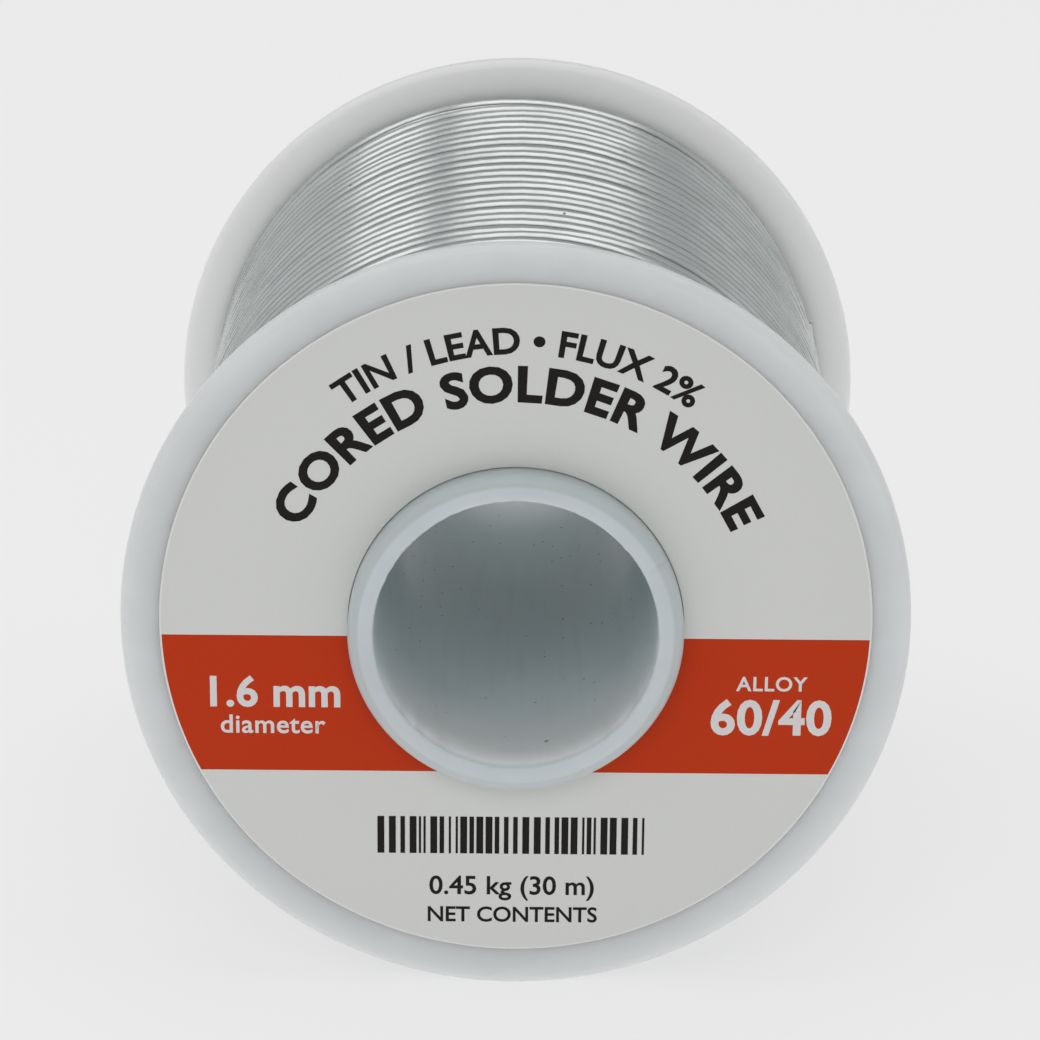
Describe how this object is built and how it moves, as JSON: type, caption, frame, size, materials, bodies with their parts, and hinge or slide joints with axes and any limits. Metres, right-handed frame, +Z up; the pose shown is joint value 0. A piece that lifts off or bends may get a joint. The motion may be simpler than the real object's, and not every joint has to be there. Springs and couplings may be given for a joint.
{
  "type": "solder wire spool",
  "caption": "White plastic spool with a through bore, two rimmed flanges with paper labels, and a full winding of flux-cored solder wire with its cut end free.",
  "frame": {"origin": "middle of the bore, on its axis, halfway between the two flanges", "axes": "+Y along the bore's axis, from the front label to the rear one; +Z up, with the spool lying on the rims of its flanges; +X to the right seen from the front"},
  "size_m": [0.054, 0.0586, 0.054],
  "materials": {
    "flange_plastic": "satin",
    "tube_plastic": "satin",
    "label_paper": "matte",
    "solder": "gloss",
    "flux": "gloss"
  },
  "bodies": {
    "root": {"core_tube": "tube_plastic", "front_flange": "flange_plastic", "rear_flange": "flange_plastic", "front_label": "label_paper", "rear_label": "label_paper", "wire_layer_1": "solder", "wire_layer_2": "solder", "wire_layer_3": "solder", "wire_layer_4": "solder", "wire_layer_5": "solder", "wire_layer_6": "solder", "wire_layer_7": "solder", "wire_layer_8": "solder", "wire_layer_9": "solder", "wire_free_end": "solder", "flux_core": "flux"}
  },
  "joints": []
}
